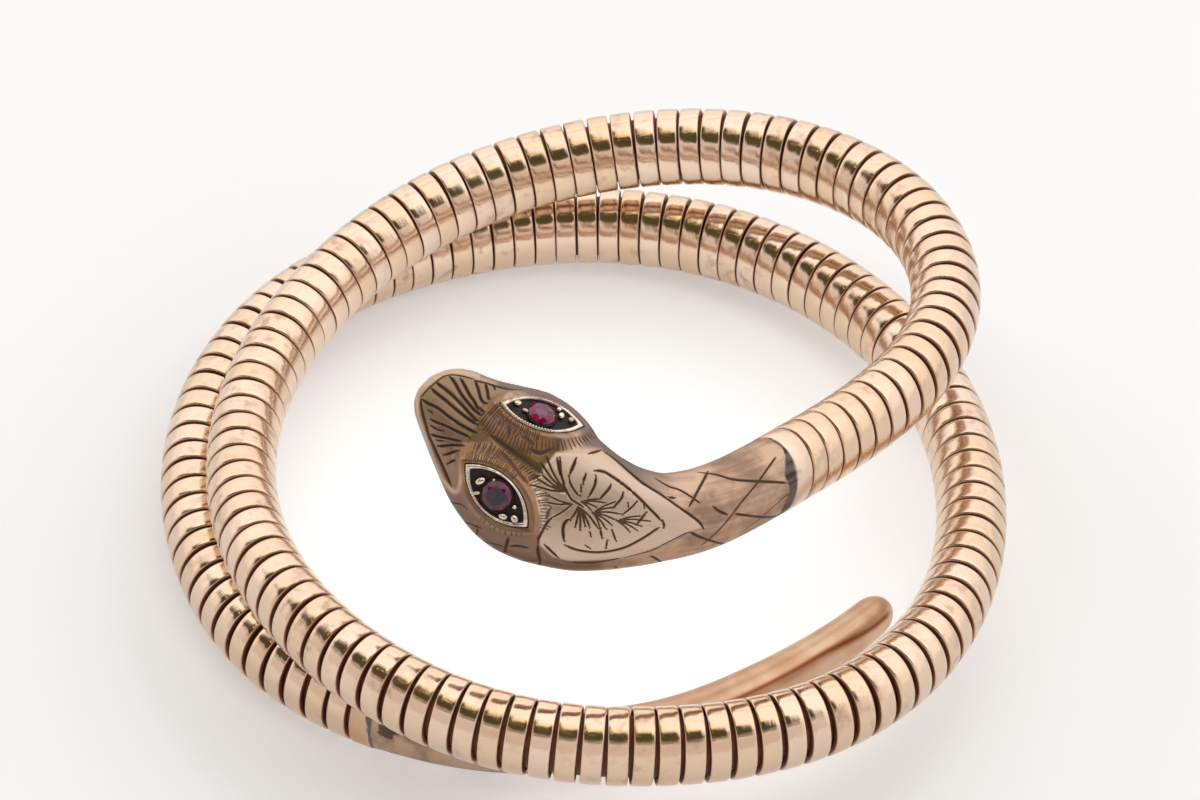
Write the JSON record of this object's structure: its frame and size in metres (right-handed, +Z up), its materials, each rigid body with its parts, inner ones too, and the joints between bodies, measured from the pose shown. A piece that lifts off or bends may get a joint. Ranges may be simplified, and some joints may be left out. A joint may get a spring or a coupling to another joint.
{
  "type": "snake bangle",
  "caption": "Snake bangle: a spring coil of close gold rings on a dark core, with an engraved snake's head with stone-set eyes at one end and a plain tapered tail at the other.",
  "frame": {"origin": "under the middle of the coil, on the surface that the bangle lies on", "axes": "+Z up, away from the surface and along the wrist; +X to the viewer's right and -Y towards the viewer, with the snake's head at the front"},
  "size_m": [0.075, 0.0744, 0.0363],
  "materials": {
    "ring_gold": "polished rose gold",
    "core_metal": "dark tarnished",
    "head_gold": "hand engraved gold, softly worn",
    "setting_silver": "bright silver",
    "ruby_stone": "faceted ruby",
    "tail_gold": "polished rose gold"
  },
  "bodies": {
    "root": {"upper_rings": "ring_gold", "lower_rings": "ring_gold", "core_tube": "core_metal", "head": "head_gold", "eye_setting_left": "setting_silver", "eye_setting_right": "setting_silver", "ruby_left": "ruby_stone", "ruby_right": "ruby_stone", "tail": "tail_gold"}
  },
  "joints": []
}
